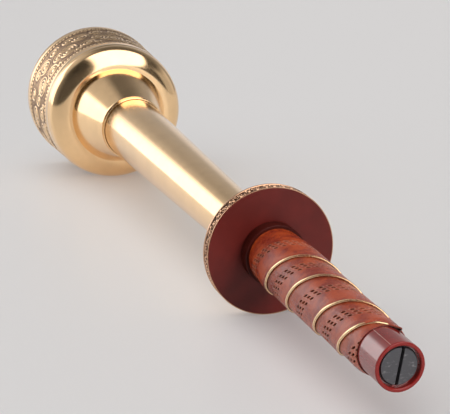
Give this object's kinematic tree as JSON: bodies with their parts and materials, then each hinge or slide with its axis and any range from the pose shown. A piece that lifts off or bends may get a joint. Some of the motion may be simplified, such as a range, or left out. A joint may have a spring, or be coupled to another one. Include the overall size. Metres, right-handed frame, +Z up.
{
  "type": "ceremonial hand torch",
  "caption": "Gas-burning ceremonial hand torch: leather-wrapped handle with screw-in butt plug, round hand guard, tapered brass column and flared relief-banded bowl with burner.",
  "frame": {"origin": "centre of the bounding box footprint, on the surface that the torch lies on", "axes": "+X along the torch from butt to bowl, seen from above; +Z up. The torch axis rises 2.45 degrees towards the bowl, because it lies on the guard and on the wider bowl rim."},
  "size_m": [0.5068, 0.0916, 0.0917],
  "materials": {
    "lacquered_maroon": "glossy maroon lacquer",
    "satin_maroon": "satin maroon",
    "leather": "red-brown waxed leather with gold edge lines",
    "black_plastic": "matte black",
    "seal_rubber": "matte",
    "polished_brass": "polished",
    "antique_brass": "antique, darkened in the hollows",
    "turned_brass": "turned, unpolished",
    "steel": "turned steel",
    "copper_pipe": "drawn copper pipe",
    "aluminium": "drawn aluminium"
  },
  "bodies": {
    "torch": {"grip_tube": "lacquered_maroon", "leather_wrap": "leather", "canister_body": "aluminium", "canister_collar": "turned_brass", "canister_stem": "steel", "stem_seal": "seal_rubber", "valve_body": "turned_brass", "valve_pin": "steel", "valve_nut": "turned_brass", "guard_hub": "lacquered_maroon", "guard_disc": "satin_maroon", "guard_back_plate": "polished_brass", "guard_rim": "antique_brass", "column": "polished_brass", "column_foot": "polished_brass", "feed_pipe": "copper_pipe", "pipe_nuts": "turned_brass", "pipe_spacers": "black_plastic", "neck_flare": "polished_brass", "bowl_shell": "polished_brass", "relief_band": "antique_brass", "rim_ring": "polished_brass", "burner_bracket": "steel", "bracket_screws": "steel", "jet_holder": "turned_brass", "jet": "turned_brass", "mixing_tube": "steel", "deck_plate": "steel", "deck_posts": "steel", "deck_nuts": "steel", "burner_head": "turned_brass", "flame_gauze": "steel", "gauze_ring": "steel"},
    "spring_carrier": {"spring_pad": "steel", "canister_spring": "steel"},
    "plug": {"end_plug": "black_plastic", "plug_seal": "seal_rubber"}
  },
  "joints": [
    {"name": "plug_travel", "type": "slide", "parent": "torch", "child": "spring_carrier", "axis": [-0.9991, 0, -0.0421], "range_m": [0, 0.012]},
    {"name": "plug_turn", "type": "hinge", "parent": "spring_carrier", "child": "plug", "pos_m": [-0.24603, 0, 0.02498], "axis": [-0.9991, 0, -0.0421], "range_deg": [0, 2880]}
  ],
  "couplings": [
    {"joint": "plug_travel", "follows": "plug_turn", "m_per_rad": 0.00023873}
  ]
}
